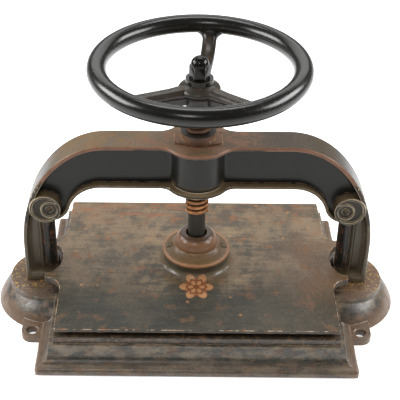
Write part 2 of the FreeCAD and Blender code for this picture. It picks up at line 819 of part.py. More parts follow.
def make_neck_ring(side):
    top = boss_top
    ring = post(ring_radius, top - ring_height, top)
    ring = ring.cut(post(neck_radius + 0.3, top - ring_height - 1, top + 1))
    low = 0.5 * ring_split if side > 0 else -ring_radius - 1
    high = ring_radius + 1 if side > 0 else -0.5 * ring_split
    return ring.common(box(low, high, -ring_radius - 1, ring_radius + 1, top - ring_height, top))


def make_collar_cap():
    top = dome_top
    lip_z = collar_flange_top - collar_lip_step
    lip_x = collar_radius - collar_lip
    ledge = V(lip_x - 0.8, 0, collar_flange_top)
    foot = V(dome_radius, 0, dome_bottom)
    bow = (ledge + foot) * 0.5 - V(collar_rise_bow, 0, collar_rise_bow)
    outer = turned([
        line(V(0, 0, collar_bottom), V(collar_radius, 0, collar_bottom)),
        line(V(collar_radius, 0, collar_bottom), V(collar_radius, 0, lip_z)),
        line(V(collar_radius, 0, lip_z), V(lip_x, 0, lip_z)),
        line(V(lip_x, 0, lip_z), ledge),
        arc(ledge, bow, foot),
        arc(foot, V(dome_radius - 1.9, 0, dome_bottom + 0.62 * dome_height),
            V(dome_top_radius, 0, top - 0.6)),
        line(V(dome_top_radius, 0, top - 0.6), V(dome_top_radius - 2.5, 0, top)),
        line(V(dome_top_radius - 2.5, 0, top), V(0, 0, top)),
        line(V(0, 0, top), V(0, 0, collar_bottom))])
    hollow = cone(dome_radius - dome_wall, dome_top_radius - dome_wall,
                  collar_bottom - 0.01, top - dome_wall)
    cuts = [hollow, post(collar_hole_radius, collar_bottom - 1, top + 1)]
    for x in (-collar_screw_x, collar_screw_x):
        cuts.append(post(collar_screw_radius + 0.3, collar_bottom - 1, dome_bottom, x))
        cuts.append(post(collar_screw_head_radius + 0.25, collar_seat_z, top, x))
    return outer.cut(cuts).removeSplitter()


def make_collar_screw(x):
    head_top = collar_seat_z + collar_screw_head_height
    shank = post(collar_screw_radius, collar_seat_z - collar_screw_length, collar_seat_z, x)
    head = cone(collar_screw_head_radius, collar_screw_head_radius - 0.9, collar_seat_z, head_top, x)
    slot = box(x - 0.5 * collar_screw_slot, x + 0.5 * collar_screw_slot,
               -collar_screw_head_radius, collar_screw_head_radius, head_top - 1.0, head_top + 1)
    return fuse([shank, head]).cut(slot)


# Studs

def stud_places():
    return [(x, y) for x in (-stud_x, stud_x) for y in (-stud_y, stud_y)]


def make_stud(x, y):
    return post(stud_radius, seat_z - stud_washer_thickness - stud_nut_height - 2,
                plinth_top + stud_engagement, x, y)


def make_stud_washer(x, y):
    disc = post(stud_washer_radius, seat_z - stud_washer_thickness, seat_z, x, y)
    return disc.cut(post(stud_radius + 0.2, 0, seat_z + 1, x, y))


def make_stud_nut(x, y):
    top = seat_z - stud_washer_thickness
    nut = hexagon(nut_flats, top - stud_nut_height, top, x, y)
    return nut.cut(post(stud_radius + fit_clearance, 0, seat_z, x, y))


def main():
    os.makedirs("parts", exist_ok=True)
    save("base", [make_base()])
    save("arch_frame", [make_arch_frame()])
    save("frame_studs", [make_stud(x, y) for x, y in stud_places()])
    save("stud_washers", [make_stud_washer(x, y) for x, y in stud_places()])
    save("stud_nuts", [make_stud_nut(x, y) for x, y in stud_places()])
    save("screw_bush", [make_screw_bush()])
    save("screw", [make_screw()])
    save("handwheel", [make_handwheel()])
    save("wheel_washer", [make_wheel_washer()])
    save("cap_nut", [make_cap_nut()])
    save("platen", [make_platen()])
    save("thrust_button", [make_thrust_button()])
    save("neck_ring_left", [make_neck_ring(-1)])
    save("neck_ring_right", [make_neck_ring(1)])
    save("collar_cap", [make_collar_cap()])
    save("collar_screws", [make_collar_screw(x) for x in (-collar_screw_x, collar_screw_x)])


main()
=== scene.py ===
import math
import bpy
import bmesh
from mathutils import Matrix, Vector


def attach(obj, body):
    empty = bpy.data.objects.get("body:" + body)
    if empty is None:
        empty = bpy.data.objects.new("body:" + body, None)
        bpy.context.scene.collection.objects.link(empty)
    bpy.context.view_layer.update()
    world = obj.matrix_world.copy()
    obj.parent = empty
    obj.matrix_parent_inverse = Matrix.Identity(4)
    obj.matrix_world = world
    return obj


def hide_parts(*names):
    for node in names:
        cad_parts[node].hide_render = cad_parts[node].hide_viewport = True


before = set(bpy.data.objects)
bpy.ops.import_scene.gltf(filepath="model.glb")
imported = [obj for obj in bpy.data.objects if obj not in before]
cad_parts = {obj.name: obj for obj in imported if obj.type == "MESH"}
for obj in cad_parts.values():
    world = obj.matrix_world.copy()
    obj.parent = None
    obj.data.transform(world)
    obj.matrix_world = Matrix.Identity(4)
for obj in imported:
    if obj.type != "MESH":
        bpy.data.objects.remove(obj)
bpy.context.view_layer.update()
print("frame loaded", sorted(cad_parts))


class Field:
    # one shader or geometry value that can be used in plain maths
    def __init__(self, bench, socket):
        self.bench = bench
        self.socket = socket

    def combined(self, operation, first, second):
        node = self.bench.add("ShaderNodeMath", {"operation": operation}, {0: first, 1: second})
        return Field(self.bench, node.outputs[0])

    def __add__(self, other):
        return self.combined("ADD", self, other)

    def __sub__(self, other):
        return self.combined("SUBTRACT", self, other)

    def __rsub__(self, other):
        return self.combined("SUBTRACT", other, self)

    def __mul__(self, other):
        return self.combined("MULTIPLY", self, other)

    def __truediv__(self, other):
        return self.combined("DIVIDE", self, other)

    def __pow__(self, other):
        return self.combined("POWER", self, other)

    def __abs__(self):
        return self.combined("ABSOLUTE", self, 0.0)

    def higher(self, other):
        return self.combined("MAXIMUM", self, other)

    def lower(self, other):
        return self.combined("MINIMUM", self, other)

    __radd__ = __add__
    __rmul__ = __mul__


class Bench:
    # a node tree under construction, for a finish or for a shape
    def __init__(self, tree):
        self.tree = tree

    def add(self, kind, settings=None, values=None):
        node = self.tree.nodes.new(kind)
        for name, value in (settings or {}).items():
            if name == "curve":
                points = node.mapping.curves[0].points
                while len(points) < len(value):
                    points.new(0.5, 0.5)
                for point, place in zip(points, value):
                    point.location = place
                node.mapping.update()
            else:
                setattr(node, name, value)
        for key, value in (values or {}).items():
            value = getattr(value, "socket", value)
            if isinstance(value, bpy.types.NodeSocket):
                self.tree.links.new(value, node.inputs[key])
            else:
                node.inputs[key].default_value = value
        return node

    def field(self, kind, settings=None, values=None, output=0):
        return Field(self, self.add(kind, settings, values).outputs[output])

    def ramp(self, value, low, high):
        # 0 below the low value, 1 above the high one, smooth between
        return self.field("ShaderNodeMapRange", {"interpolation_type": "SMOOTHSTEP"},
                          {"Value": value, "From Min": low, "From Max": high})


def tone(red, green, blue):
    # a screen colour, 0 to 255, as the linear colour that a socket holds
    return tuple(((c / 255 + 0.055) / 1.055) ** 2.4 if c > 10 else c / 3295 for c in (red, green, blue)) + (1.0,)


class Coat(Bench):
    # a finish; x, y and z are millimetres on the object
    def __init__(self, name):
        self.material = bpy.data.materials.new(name)
        self.material.use_nodes = True
        super().__init__(self.material.node_tree)
        self.shader = self.tree.nodes["Principled BSDF"]
        corner = self.add("ShaderNodeTexCoord").outputs["Object"]
        self.place = self.add("ShaderNodeVectorMath", {"operation": "SCALE"}, {0: corner, "Scale": 1000.0}).outputs[0]
        self.x, self.y, self.z = self.split(self.place)
        normal = self.add("ShaderNodeNewGeometry").outputs["Normal"]
        self.facingX, self.facingY, self.facingUp = self.split(normal)
        # mask of the rounded edges; finishes paint edge wear there and also a painted highlight along the edges
        self.worn = self.field("ShaderNodeAttribute", {"attribute_name": "worn"}, output=2)

    def split(self, vector):
        return [Field(self, socket) for socket in self.add("ShaderNodeSeparateXYZ", {}, {0: vector}).outputs]

    def noise(self, size, detail=3.0, rough=0.5, stretch=(1, 1, 1), shift=0.0):
        place = self.add("ShaderNodeMapping", {}, {0: self.place, "Scale": stretch, "Location": (shift, shift, shift)})
        return self.field("ShaderNodeTexNoise", {}, {"Vector": place.outputs[0], "Scale": 1.0 / size,
                                                     "Detail": detail, "Roughness": rough})

    def patches(self, size, low, high, detail=4.0, stretch=(1, 1, 1), shift=0.0):
        # blotches where the noise rises past the two limits
        return self.ramp(self.noise(size, detail, 0.6, stretch, shift), low, high)

    def specks(self, size, radius, shift=0.0):
        # round spots of one radius, one in each cell
        place = self.add("ShaderNodeMapping", {}, {0: self.place, "Location": (shift, shift, shift)})
        far = self.field("ShaderNodeTexVoronoi", {"feature": "F1"}, {"Vector": place.outputs[0], "Scale": 1.0 / size})
        return 1 - self.ramp(far, 0.6 * radius / size, radius / size)

    def over(self, under, top, share):
        # lays one colour over another
        return self.add("ShaderNodeMix", {"data_type": "RGBA"}, {0: share, 6: under, 7: top}).outputs[2]

    def bump(self, height, depth):
        # depth in millimetres
        return self.add("ShaderNodeBump", {}, {"Height": height, "Distance": 0.001 * depth}).outputs[0]

    def finish(self, colour, roughness, normal=None, metallic=None, level=0.5, clear=0.0):
        sockets = {"Base Color": colour, "Roughness": roughness, "Metallic": metallic, "Normal": normal}
        for name, value in sockets.items():
            value = getattr(value, "socket", value)
            if isinstance(value, bpy.types.NodeSocket):
                self.tree.links.new(value, self.shader.inputs[name])
            elif value is not None:
                self.shader.inputs[name].default_value = value
        self.shader.inputs["Specular IOR Level"].default_value = level
        self.shader.inputs["Coat Weight"].default_value = clear
        self.shader.inputs["Coat Roughness"].default_value = 0.12
        return self.material


class Recipe(Bench):
    # a Geometry Nodes tree with named inputs
    kinds = {int: "NodeSocketInt", float: "NodeSocketFloat", bool: "NodeSocketBool"}

    def __init__(self, name, sizes, material, model=None):
        super().__init__(bpy.data.node_groups.new(name, "GeometryNodeTree"))
        face = self.tree.interface
        face.new_socket("Geometry", in_out="OUTPUT", socket_type="NodeSocketGeometry")
        self.values = {}
        for label, value in sizes.items():
            made = face.new_socket(label, in_out="INPUT", socket_type=self.kinds[type(value)])
            self.values[made.identifier] = value
        if model is not None:
            made = face.new_socket("Model", in_out="INPUT", socket_type="NodeSocketObject")
            self.values[made.identifier] = model
        made = face.new_socket("Material", in_out="INPUT", socket_type="NodeSocketMaterial")
        self.values[made.identifier] = material
        self.entry = self.tree.nodes.new("NodeGroupInput")
        self.exit = self.tree.nodes.new("NodeGroupOutput")

    def __getitem__(self, label):
        return Field(self, self.entry.outputs[label])

    def vector(self, x=0.0, y=0.0, z=0.0):
        return self.field("ShaderNodeCombineXYZ", {}, {0: x, 1: y, 2: z})

    def joined(self, parts):
        node = self.tree.nodes.new("GeometryNodeJoinGeometry")
        for part in parts:
            self.tree.links.new(part, node.inputs[0])
        return node.outputs[0]

    def baked(self, name, geometry, smoothAngle=0.6):
        # ends the tree, runs it once and returns a plain mesh object
        real = self.add("GeometryNodeRealizeInstances", {}, {0: geometry}).outputs[0]
        done = self.add("GeometryNodeSetMaterial", {}, {"Geometry": real, "Material": self["Material"]}).outputs[0]
        self.tree.links.new(done, self.exit.inputs[0])
        holder = bpy.data.objects.new(name + "Holder", bpy.data.meshes.new(name + "Holder"))
        bpy.context.scene.collection.objects.link(holder)
        modifier = holder.modifiers.new("grow", "NODES")
        modifier.node_group = self.tree
        for identifier, value in self.values.items():
            modifier[identifier] = value
        graph = bpy.context.evaluated_depsgraph_get()
        graph.update()
        mesh = bpy.data.meshes.new_from_object(holder.evaluated_get(graph))
        holder.modifiers.remove(modifier)
        bpy.data.objects.remove(holder)
        mesh.name = name
        mesh.shade_smooth()
        mesh.set_sharp_from_angle(angle=smoothAngle)
        piece = bpy.data.objects.new(name, mesh)
        bpy.context.scene.collection.objects.link(piece)
        return piece


def settle(piece, body, slotName, *nodes):
    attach(piece, body)
    if nodes:
        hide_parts(*nodes)
    return piece


def easedCopy(node, name, width, material, keep=None, sharpAngle=28.0, segments=2):
    # the node's own shape with its edges rounded; the rounds are marked for edge wear and for a painted highlight along
    # the edges
    shape = bmesh.new()
    shape.from_mesh(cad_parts[node].data)
    bmesh.ops.remove_doubles(shape, verts=shape.verts, dist=1e-5)
    # flat faces become one, apart from those that lie on the floor
    lifted = [vert for vert in shape.verts if vert.co.z > 0.0006]
    joined = [edge for edge in shape.edges if edge.verts[0].co.z > 0.0006 and edge.verts[1].co.z > 0.0006]
    bmesh.ops.dissolve_limit(shape, angle_limit=math.radians(0.05), verts=lifted, edges=joined)
    sharp = [edge for edge in shape.edges
             if len(edge.link_faces) == 2 and edge.calc_face_angle() > math.radians(sharpAngle)
             and not (keep and keep((edge.verts[0].co + edge.verts[1].co) / 2))]
    worn = shape.faces.layers.float.new("worn")
    made = bmesh.ops.bevel(shape, geom=sharp, offset=width, offset_type="OFFSET", segments=segments,
                           profile=0.5, affect="EDGES", clamp_overlap=False, loop_slide=True)
    for face in made["faces"]:
        face[worn] = 1.0
    mesh = bpy.data.meshes.new(name)
    shape.to_mesh(mesh)
    shape.free()
    mesh.materials.append(material)
    mesh.shade_smooth()
    mesh.set_sharp_from_angle(angle=math.radians(40))
    piece = bpy.data.objects.new(name, mesh)
    bpy.context.scene.collection.objects.link(piece)
    weighted = piece.modifiers.new("weighted", "WEIGHTED_NORMAL")
    weighted.keep_sharp = True
    return piece


def dress(node, material):
    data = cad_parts[node].data
    data.materials.clear()
    data.materials.append(material)


# camera at the photograph's angle
view = {"place": (-0.02171, -0.93624, 0.76251), "ahead": (-0.01154, 0.82926, -0.55874),
        "lens": 92.98, "shiftX": 0.0868, "shiftY": -0.0014}
lens = bpy.data.cameras.new("photoLens")
lens.lens = view["lens"]
lens.sensor_width = 36.0
lens.shift_x = view["shiftX"]
lens.shift_y = view["shiftY"]
camera = bpy.data.objects.new("photoCamera", lens)
camera.location = view["place"]
camera.rotation_euler = Vector(view["ahead"]).to_track_quat("-Z", "Y").to_euler()
bpy.context.scene.collection.objects.link(camera)
bpy.context.scene.camera = camera

# studio: white ground, dim surround, soft boxes
studio = {
    "surround": 0.12, "ground": 0.60,
    "boxes": {
        "leftBox": ((-1.05, 0.05, 0.80), (0.9, 0.45), 20.0),
        "rightBox": ((1.05, 0.05, 0.80), (0.9, 0.45), 19.0),
        "topBox": ((0.0, 0.50, 1.40), (0.8, 0.30), 7.0),
        "backBox": ((0.0, 1.60, 1.25), (2.4, 0.8), 12.0),
        "frontBox": ((-0.25, -1.15, 1.25), (0.30, 0.25), 4.0),
    },
}
world = bpy.data.worlds.new("surround")
world.use_nodes = True
world.node_tree.nodes["Background"].inputs[0].default_value = (1, 1, 1, 1)
world.node_tree.nodes["Background"].inputs[1].default_value = studio["surround"]
bpy.context.scene.world = world
bpy.context.scene.view_settings.view_transform = "Standard"
for boxName, (place, size, power) in studio["boxes"].items():
    lamp = bpy.data.lights.new(boxName, "AREA")
    lamp.shape = "RECTANGLE"
    lamp.size, lamp.size_y = size
    lamp.energy = power
    lampObject = bpy.data.objects.new(boxName, lamp)
    lampObject.location = place
    lampObject.rotation_euler = (Vector((0, 0, 0.15)) - Vector(place)).to_track_quat("-Z", "Y").to_euler()
    bpy.context.scene.collection.objects.link(lampObject)
ground = bpy.data.meshes.new("ground")
ground.from_pydata([(-6, -6, 0), (6, -6, 0), (6, 6, 0), (-6, 6, 0)], [], [(0, 1, 2, 3)])
paper = bpy.data.materials.new("paper")
paper.use_nodes = True
paper.node_tree.nodes["Principled BSDF"].inputs["Base Color"].default_value = (0.85, 0.85, 0.85, 1)
paper.node_tree.nodes["Principled BSDF"].inputs["Roughness"].default_value = 0.9
paper.node_tree.nodes["Principled BSDF"].inputs["Emission Color"].default_value = (1, 1, 1, 1)
paper.node_tree.nodes["Principled BSDF"].inputs["Emission Strength"].default_value = studio["ground"]
ground.materials.append(paper)
groundObject = bpy.data.objects.new("ground", ground)
bpy.context.scene.collection.objects.link(groundObject)
print("camera and studio ready")


# finishes
def castBump(coat, grain, depth):
    return coat.bump(coat.noise(grain, 3.0, 0.6) * 0.6 + coat.noise(grain * 6, 2.0, 0.5) * 1.6, depth)


def grained(coat, colour, size, share, bright=0.4):
    # fine mottling, darker and lighter than the colour
    fine = coat.noise(size, 5.0, 0.7)
    colour = coat.over(colour, tone(16, 15, 12), coat.ramp(fine, 0.53, 0.68) * share)
    return coat.over(colour, tone(176, 160, 138), coat.ramp(1 - fine, 0.55, 0.70) * share * bright)


def archFinish():
    coat = Coat("archIron")
    top = coat.ramp(coat.facingUp, 0.45, 0.85)
    high = coat.ramp(coat.z, 150.0, 200.0)
    middle = 1 - coat.ramp(abs(coat.x), 25.0, 60.0)
    right = coat.ramp(coat.x, -40.0, 60.0)
    outer = coat.ramp(abs(coat.y), 7.0, 9.0)
    web = coat.over(tone(22, 22, 19), tone(30, 29, 25), coat.noise(10.0))
    # brown dust on the top of the beam, darker towards the right
    dusty = coat.over(tone(98, 84, 66), tone(68, 58, 46), right)
    dusty = coat.over(dusty, tone(84, 68, 50), middle * 0.7)
    colour = coat.over(web, dusty, top * high * (0.75 + coat.noise(20.0) * 0.4))
    amber = coat.patches(18.0, 0.46, 0.62, shift=40.0) * top * high * coat.ramp(0 - coat.x, 10.0, 60.0)
    colour = coat.over(colour, tone(112, 84, 48), amber * 0.7)
    # red rust round the boss, and on its collar and pad
    red = coat.patches(13.0, 0.44, 0.58, 5.0, shift=64.0) * top * high * (1 - coat.ramp(abs(coat.x), 55.0, 85.0))
    colour = coat.over(colour, tone(112, 78, 56), red * 0.65)
    mound = coat.ramp(coat.z, 209.0, 209.8)
    colour = coat.over(colour, coat.over(tone(74, 55, 40), tone(112, 80, 58), coat.noise(7.0, 4.0)), mound)
    # rubbed front edge of the beam
    shoulder = coat.ramp(abs(coat.y), 16.0, 17.2) * coat.ramp(abs(coat.x), 62.0, 72.0) * coat.ramp(coat.z, 120.0, 165.0)
    brink = coat.ramp(coat.z, 205.2, 206.6) * (1 - coat.ramp(coat.facingUp, 0.86, 0.97)) * (1 - mound)
    edge = shoulder.higher(brink)
    rubbed = edge * (0.35 + coat.noise(9.0, 3.0) * 0.9)
    colour = coat.over(colour, tone(140, 100, 78), rubbed * 0.75)
    # olive dust on the lower flange and the scrolls
    low = (1 - coat.ramp(coat.z, 160.0, 166.0)) * coat.ramp(coat.z, 106.0, 112.0)
    away = 1 - coat.ramp(abs(coat.x), 181.0, 184.0)
    olive = outer * low * away * (0.40 + top * 0.40 + coat.noise(7.0) * 0.35)
    colour = coat.over(colour, tone(104, 88, 64), olive)
    # legs: brown haze with upright streaks in the channel, partly haze and partly a painted sheen; the pillar stays
    # dark
    leg = (1 - coat.ramp(coat.z, 108.0, 114.0)) * coat.ramp(abs(coat.x), 168.0, 176.0)
    colour = coat.over(colour, tone(98, 88, 72), leg * (0.35 + coat.noise(12.0, 4.0, 0.6, (1, 1, 0.3)) * 0.7))
    pillar = (1 - coat.ramp(coat.z, 108.0, 114.0)) * (1 - coat.ramp(abs(coat.x), 170.0, 174.0))
    fleck = coat.patches(3.0, 0.56, 0.64, 3.0, (1, 1, 0.5), 14.0)
    colour = coat.over(colour, tone(104, 60, 36), fleck * pillar * 0.8)
    foot = 1 - coat.ramp(coat.z, 44.0, 50.0)
    colour = coat.over(colour, tone(92, 78, 56), foot * coat.noise(5.0, 4.0) * 0.9)
    # scrolls: the upright faces are darker than the olive dust, and the rounded rims get a pale painted highlight
    volute = low * coat.ramp(abs(coat.y), 14.8, 15.6) * away
    colour = coat.over(colour, tone(36, 34, 27), volute * (1 - coat.worn) * coat.ramp(1 - abs(coat.facingUp), 0.4, 0.7) * 0.85)
    colour = coat.over(colour, tone(176, 168, 146), volute * coat.worn * (0.4 + coat.noise(5.0) * 0.9))
    colour = grained(coat, colour, 2.4, top * high * 0.5 + olive * 0.35 + leg * 0.3)
    # pale marks on the rounded edges, more of them higher up: partly worn paint, partly a painted highlight along the
    # edges
    chipsAndGlint = coat.worn * coat.patches(7.0, 0.38, 0.56, shift=21.0) * (0.3 + coat.ramp(coat.z, 100.0, 130.0) * 0.7)
    colour = coat.over(colour, tone(150, 124, 98), chipsAndGlint * 0.6)
    dull = (top * high * 0.7 + olive).lower(1.0)
    return coat.finish(colour, 0.30 + dull * 0.22, castBump(coat, 1.6, 0.08), level=0.24)


def baseFinish():
    coat = Coat("baseIron")
    up = coat.ramp(coat.facingUp, 0.6, 0.92)
    sides = coat.ramp(abs(coat.x), 156.0, 170.0)
    haze = coat.ramp(coat.noise(13.0, 6.0, 0.66, (0.55, 1.0, 1.0), 9.0), 0.40, 0.62)
    colour = coat.over(tone(48, 47, 41), tone(108, 96, 79), haze)
    ear = coat.over(tone(44, 41, 35), tone(82, 72, 58), haze)
    brink = 1 - coat.ramp(coat.z, 6.0, 17.0)
    ear = coat.over(ear, coat.over(tone(112, 94, 70), tone(132, 88, 56), coat.noise(10.0, 4.0)), brink * 0.75)
    colour = coat.over(colour, ear, sides)
    bead = 1 - coat.ramp(coat.z, 10.0, 14.0)
    colour = coat.over(colour, tone(74, 62, 52), bead * 0.5)
    rust = coat.patches(11.0, 0.52, 0.64, 5.0, shift=13.0)
    colour = coat.over(colour, tone(94, 68, 48), rust * 0.6)
    # the ears' tops are brown, with gold dust near the legs
    plinth = coat.ramp(coat.z, 28.0, 29.2) * sides
    earthy = coat.over(tone(52, 43, 33), tone(94, 68, 45), coat.noise(9.0, 4.0) + coat.ramp(coat.x, 0.0, 100.0) * 0.3)
    colour = coat.over(colour, earthy, plinth * 0.9)
    gold = coat.patches(2.6, 0.55, 0.63, 4.0, shift=88.0) * plinth * (1 - coat.ramp(abs(coat.y), 26.0, 38.0))
    colour = coat.over(colour, tone(168, 132, 66), gold * 0.8)
    # darker in the hollow of the moulding
    hollow = coat.ramp(coat.z, 10.4, 12.5) * (1 - coat.ramp(coat.z, 13.5, 18.0)) * (1 - sides)
    colour = coat.over(colour, tone(38, 35, 30), hollow * 0.55)
    # painted shadow on the bed under the platen, with rust spots on it
    bed = coat.ramp(coat.z, 30.6, 31.2) * (1 - sides)
    colour = coat.over(colour, tone(48, 40, 32), bed * 0.9)
    colour = coat.over(colour, tone(104, 80, 58), bed * coat.patches(5.0, 0.52, 0.62, shift=31.0) * 0.7)
    colour = grained(coat, colour, 2.4, 0.5)
    scratches = coat.patches(2.4, 0.60, 0.68, 2.0, (0.10, 0.7, 1.2), 5.0)
    colour = coat.over(colour, tone(118, 90, 64), scratches * 0.6)
    # pale marks on the rounded edges: partly worn paint, partly a painted highlight along the edges
    chipsAndGlint = coat.worn * coat.patches(6.0, 0.44, 0.60, shift=3.0)
    colour = coat.over(colour, tone(132, 112, 92), chipsAndGlint * 0.5)
    return coat.finish(colour, 0.36 + rust * 0.18 + plinth * 0.2 - up * 0.03, castBump(coat, 1.8, 0.12), level=0.5)


def platenFinish():
    coat = Coat("platenIron")
    # dark front and tan back: partly dust, partly painted shade on the front and a painted sheen on the back
    front = 1 - coat.ramp(coat.y + coat.noise(40.0, 3.0) * 36.0 - 18.0, -84.0, -12.0)
    streaks = coat.noise(5.0, 4.0, 0.6, (0.14, 1.0, 1.0), 25.0)
    haze = coat.ramp(coat.noise(30.0, 6.0, 0.66, (1.0, 0.8, 1.0), 25.0) * 0.7 + streaks * 0.3, 0.40, 0.60)
    tan = coat.over(tone(66, 59, 46), tone(110, 92, 70), haze)
    dark = coat.over(tone(36, 37, 30), tone(62, 57, 46), haze * 0.6 + streaks * 0.4)
    dark = coat.over(dark, tone(72, 62, 48), coat.ramp(coat.x, 20.0, 150.0) * 0.5)
    colour = coat.over(tan, dark, front)
    rim = coat.ramp(coat.y, 96.0, 116.0)
    rust = coat.patches(20.0, 0.56, 0.66, shift=50.0) * (1 - front * 0.5)
    colour = coat.over(colour, tone(124, 84, 54), (rust * 0.55 + rim * coat.patches(14.0, 0.48, 0.6, shift=5.0) * 0.6).lower(1.0))
    spots = coat.specks(26.0, 2.6, 9.0) * coat.patches(3.0, 0.35, 0.5)
    colour = coat.over(colour, tone(150, 104, 62), spots * 0.7)
    # rust streaks near the back edge, wider on the left
    streaked = coat.patches(9.0, 0.50, 0.62, 5.0, (0.35, 1.3, 1.0), 12.0) * coat.ramp(coat.y, 62.0, 84.0)
    streaked = streaked * (1 - coat.ramp(coat.x, -10.0, 60.0) * 0.7)
    colour = coat.over(colour, tone(118, 72, 42), streaked * 0.75)
    run = (coat.x * coat.x + coat.y * coat.y) ** 0.5
    # pale dust and a painted sheen on both sides of the boss, brown dirt by the right leg
    dustAndSheen = (1 - coat.ramp(abs(run - 56.0), 6.0, 26.0)) * coat.ramp(abs(coat.x), 16.0, 44.0)
    colour = coat.over(colour, tone(140, 118, 88), dustAndSheen * haze * 0.6)
    dirt = coat.ramp(coat.x, 70.0, 140.0) * (1 - coat.ramp(abs(coat.y + 10.0), 30.0, 80.0))
    colour = coat.over(colour, tone(112, 78, 48), dirt * (1 - haze) * 0.6)
    colour = grained(coat, colour, 2.6, 0.62, 0.18)
    boss = (1 - coat.ramp(run, 38.0, 47.0)) * coat.ramp(coat.z, 50.8, 54.0)
    colour = coat.over(colour, tone(98, 86, 66), boss * 0.8)
    side = 1 - coat.ramp(abs(coat.facingUp), 0.2, 0.5)
    colour = coat.over(colour, tone(46, 41, 34), side * 0.7)
    # pale marks on the rounded edges: partly worn paint, partly a painted highlight along the edges
    chipsAndGlint = coat.worn * coat.patches(6.0, 0.46, 0.60, shift=33.0)
    colour = coat.over(colour, tone(176, 154, 130), chipsAndGlint * 0.9)
    orange = coat.worn * coat.patches(9.0, 0.56, 0.64, shift=77.0)
    colour = coat.over(colour, tone(168, 108, 62), orange * 0.8)
    # a worn gilt rosette in front of the boss, partly on the boss's foot
    climb = (coat.z - 51.0).higher(0.0) * 0.75
    along, across = coat.x / 18.5, (coat.y + climb + 50.5) / 21.0
    far = (along * along + across * across) ** 0.5
    turn = coat.field("ShaderNodeMath", {"operation": "ARCTAN2"}, {0: across, 1: along})
    petal = coat.field("ShaderNodeMath", {"operation": "COSINE"}, {0: turn * 6.0})
    edge = 0.84 + petal * 0.15 + coat.noise(5.0, 3.0) * 0.12
    leaf = 1 - coat.ramp(far, edge - 0.08, edge)
    vein = coat.ramp(abs(far - edge * 0.55), 0.04, 0.10) * coat.ramp(far, 0.14, 0.22)
    gap = coat.ramp(abs(petal + 0.75), 0.1, 0.5)
    gilt = leaf * coat.patches(3.0, 0.30, 0.44, shift=17.0)
    paint = coat.over(tone(112, 66, 40), coat.over(tone(150, 100, 66), tone(184, 138, 92), coat.noise(3.0, 4.0, 0.7)), vein * gap)
    colour = coat.over(colour, paint, gilt * 0.92)
    return coat.finish(colour, 0.42 + rust * 0.15 - boss * 0.14, castBump(coat, 2.2, 0.10), level=0.4)


def wheelFinish():
    coat = Coat("wheelJapan")
    run = (coat.x * coat.x + coat.y * coat.y) ** 0.5
    inside = 1 - coat.ramp(run, 88.0, 95.0)
    colour = coat.over(tone(15, 15, 13), tone(22, 21, 18), coat.noise(10.0))
    brown = coat.over(tone(34, 29, 23), tone(54, 46, 36), coat.noise(6.0, 4.0))
    colour = coat.over(colour, brown, inside * coat.ramp(coat.facingUp, -0.2, 0.5) * 0.85)
    rust = coat.patches(4.0, 0.58, 0.68, shift=61.0) * (0.2 + inside * 0.8)
    colour = coat.over(colour, tone(96, 66, 42), rust * 0.55)
    return coat.finish(colour, 0.24 + inside * 0.12 + rust * 0.2, castBump(coat, 2.0, 0.05), level=0.38)


def screwFinish():
    coat = Coat("screwSteel")
    run = (coat.x * coat.x + coat.y * coat.y) ** 0.5
    # rusty thread, lighter on the crests and dark in the roots: partly rust, partly a painted highlight on the crests
    # and painted shade in the roots
    crest = coat.ramp(run, 10.4, 12.2)
    thread = coat.ramp(coat.z, 113.0, 116.0)
    colour = coat.over(tone(38, 25, 16), tone(150, 98, 56), crest)
    colour = coat.over(colour, tone(190, 134, 80), crest * coat.patches(5.0, 0.50, 0.62))
    colour = coat.over(tone(38, 34, 26), colour, thread)
    colour = coat.over(colour, tone(58, 38, 24), coat.ramp(coat.z, 205.0, 215.0) * 0.85)
    return coat.finish(colour, 0.38 + coat.noise(3.0) * 0.2, castBump(coat, 0.8, 0.04), 0.1)


def collarFinish():
    coat = Coat("collarIron")
    run = (coat.x * coat.x + coat.y * coat.y) ** 0.5
    colour = coat.over(tone(98, 68, 46), tone(136, 96, 64), coat.noise(7.0, 4.0))
    flange = coat.ramp(run, 23.0, 25.0)
    colour = coat.over(colour, coat.over(tone(88, 70, 44), tone(108, 84, 56), coat.noise(6.0)), flange * 0.9)
    rim = coat.ramp(run, 34.5, 35.5)
    colour = coat.over(colour, coat.over(tone(128, 90, 64), tone(156, 114, 80), coat.noise(5.0)), rim)
    crown = coat.ramp(coat.z, 85.5, 88.5)
    colour = coat.over(colour, tone(42, 34, 26), crown * 0.7)
    colour = grained(coat, colour, 1.8, 0.35)
    # pale marks on the rounded edges: partly worn paint, partly a painted highlight along the edges
    colour = coat.over(colour, tone(150, 112, 78), coat.worn * coat.patches(4.0, 0.4, 0.55, shift=2.0) * 0.6)
    return coat.finish(colour, 0.36 + flange * 0.08, castBump(coat, 1.2, 0.05), level=0.4, clear=0.12)


def plainFinish(name, dark, light, roughness, wearAndGlintColour, level=0.5):
    coat = Coat(name)
    colour = coat.over(dark, light, coat.noise(5.0))
    colour = grained(coat, colour, 1.6, 0.25)
    # the rounded edges take the pale colour: partly worn paint, partly a painted highlight along the edges
    colour = coat.over(colour, wearAndGlintColour, coat.worn * coat.patches(3.0, 0.35, 0.55, shift=2.0) * 0.6)
    return coat.finish(colour, roughness + coat.noise(4.0) * 0.1, castBump(coat, 1.2, 0.05), level=level)


archIron = archFinish()
baseIron = baseFinish()
platenIron = platenFinish()
wheelJapan = wheelFinish()
screwSteel = screwFinish()
collarIron = collarFinish()
capJapan = plainFinish("capJapan", tone(11, 11, 9), tone(19, 18, 15), 0.14, tone(76, 68, 54), level=0.2)
bushSteel = plainFinish("bushSteel", tone(28, 24, 20), tone(46, 38, 30), 0.34, tone(100, 76, 54), level=0.35)
darkSteel = plainFinish("darkSteel", tone(70, 58, 42), tone(120, 100, 72), 0.42, tone(150, 118, 86))
print("finishes ready")


